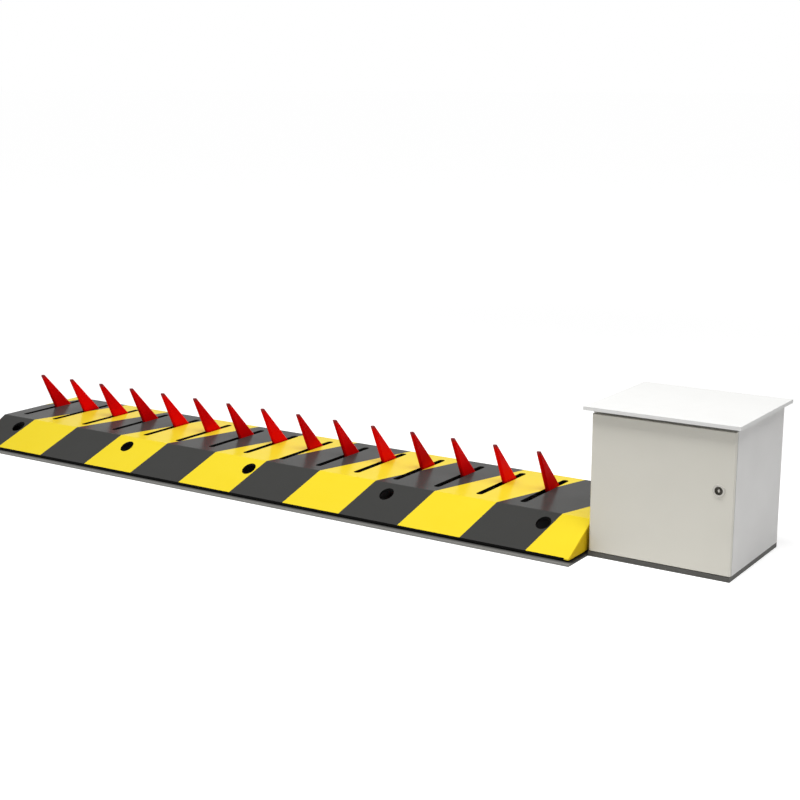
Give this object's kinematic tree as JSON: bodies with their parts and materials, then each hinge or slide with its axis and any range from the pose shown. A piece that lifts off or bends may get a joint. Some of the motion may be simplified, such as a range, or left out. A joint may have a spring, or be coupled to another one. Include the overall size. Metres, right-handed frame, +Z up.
{
  "type": "hydraulic spike barrier",
  "caption": "Surface-mounted road barrier: a striped ramped housing with a hinged row of red spikes in deck slots, and an end cabinet that holds the hydraulic drive.",
  "frame": {"origin": "on the road, under the middle of the whole object's bounding box", "axes": "+X along the barrier towards the cabinet, +Y away from the traffic that meets the spike tips, +Z up from the road"},
  "size_m": [3.807, 0.922, 0.576],
  "materials": {
    "galvanised_plate": "dark grey painted road plate",
    "hazard_paint": "satin yellow road paint with black diagonal bands",
    "black_primer": "matt black primer",
    "bronze": "turned bronze",
    "machined_steel": "machined, lightly oiled",
    "hardened_steel": "ground",
    "chromed_rod": "hard chrome, polished",
    "black_enamel": "black enamel",
    "plinth_paint": "dark grey paint",
    "cabinet_powder": "warm light grey powder coat, fine texture",
    "roof_powder": "off-white powder coat",
    "gasket_rubber": "foamed rubber",
    "lock_zinc": "plated die casting",
    "tank_enamel": "blue-grey enamel",
    "motor_enamel": "grey-blue enamel on castings",
    "fan_plastic": "moulded",
    "cast_iron_pump": "as cast",
    "valve_aluminium": "milled, clear anodised",
    "coil_plastic": "moulded coil cover",
    "gauge_steel": "pressed steel case",
    "knob_plastic": "moulded",
    "hose_rubber": "smooth hose cover with plated ferrules",
    "box_plastic": "light grey moulded box",
    "red_paint": "semi-gloss red paint"
  },
  "bodies": {
    "base": {"base_plate": "galvanised_plate", "deck_plate": "hazard_paint", "front_ramp_plate": "hazard_paint", "rear_ramp_plate": "hazard_paint", "left_end_plate": "hazard_paint", "right_end_plate": "hazard_paint", "front_sill": "black_primer", "rear_sill": "black_primer", "shaft_bushes": "bronze", "cylinder_body": "black_enamel", "cylinder_stand": "black_primer", "cabinet_base": "plinth_paint", "cabinet_left_wall": "cabinet_powder", "cabinet_right_wall": "cabinet_powder", "cabinet_back_wall": "cabinet_powder", "cabinet_roof": "roof_powder", "door_frame": "cabinet_powder", "door_hinge_pins": "machined_steel", "door_gasket": "gasket_rubber", "oil_tank": "tank_enamel", "tank_lid": "black_enamel", "motor_body": "motor_enamel", "fan_cowl": "motor_enamel", "pump": "cast_iron_pump", "valve_block": "valve_aluminium", "solenoid_valve": "coil_plastic", "pressure_gauge": "gauge_steel", "filler_cap": "knob_plastic", "hydraulic_hoses": "hose_rubber", "control_box": "box_plastic", "rib_1": "black_primer", "rib_2": "black_primer", "rib_3": "black_primer", "rib_4": "black_primer"},
    "spike_row": {"spike_shaft": "machined_steel", "crank_arm": "machined_steel", "spike_01": "red_paint", "spike_02": "red_paint", "spike_03": "red_paint", "spike_04": "red_paint", "spike_05": "red_paint", "spike_06": "red_paint", "spike_07": "red_paint", "spike_08": "red_paint", "spike_09": "red_paint", "spike_10": "red_paint", "spike_11": "red_paint", "spike_12": "red_paint", "spike_13": "red_paint", "spike_14": "red_paint", "spike_15": "red_paint"},
    "roller": {"crank_roller": "hardened_steel"},
    "ram": {"piston_rod": "chromed_rod", "rod_yoke": "machined_steel"},
    "door": {"door_panel": "cabinet_powder", "lock_body": "lock_zinc"},
    "lock": {"lock_core": "lock_zinc", "lock_cam": "machined_steel"},
    "fan": {"motor_fan": "fan_plastic"},
    "knob": {"release_knob": "knob_plastic"}
  },
  "joints": [
    {"name": "spike_row_swing", "type": "hinge", "parent": "base", "child": "spike_row", "pos_m": [-0.2895, 0.101, 0.068], "axis": [1, 0, 0], "range_deg": [0, 47]},
    {"name": "roller_spin", "type": "hinge", "parent": "spike_row", "child": "roller", "pos_m": [1.413, 0.12891, 0.13219], "axis": [1, 0, 0], "continuous": true},
    {"name": "ram_slide", "type": "slide", "parent": "base", "child": "ram", "axis": [0, 1, 0], "range_m": [-0.0559, 0]},
    {"name": "door_hinge", "type": "hinge", "parent": "base", "child": "door", "pos_m": [1.334, -0.293, 0.29], "axis": [0, 0, -1], "range_deg": [0, 90]},
    {"name": "lock_turn", "type": "hinge", "parent": "door", "child": "lock", "pos_m": [1.8255, -0.305, 0.331], "axis": [0, 1, 0], "range_deg": [0, 90]},
    {"name": "fan_spin", "type": "hinge", "parent": "base", "child": "fan", "pos_m": [1.7255, 0.033, 0.48], "axis": [0, 0, 1], "continuous": true},
    {"name": "release_turn", "type": "hinge", "parent": "base", "child": "knob", "pos_m": [1.5575, -0.02, 0.26], "axis": [0, -1, 0], "range_deg": [-180, 0]}
  ],
  "couplings": [
    {"joint": "ram_slide", "follows": "spike_row_swing", "m_per_rad": -0.068054}
  ]
}
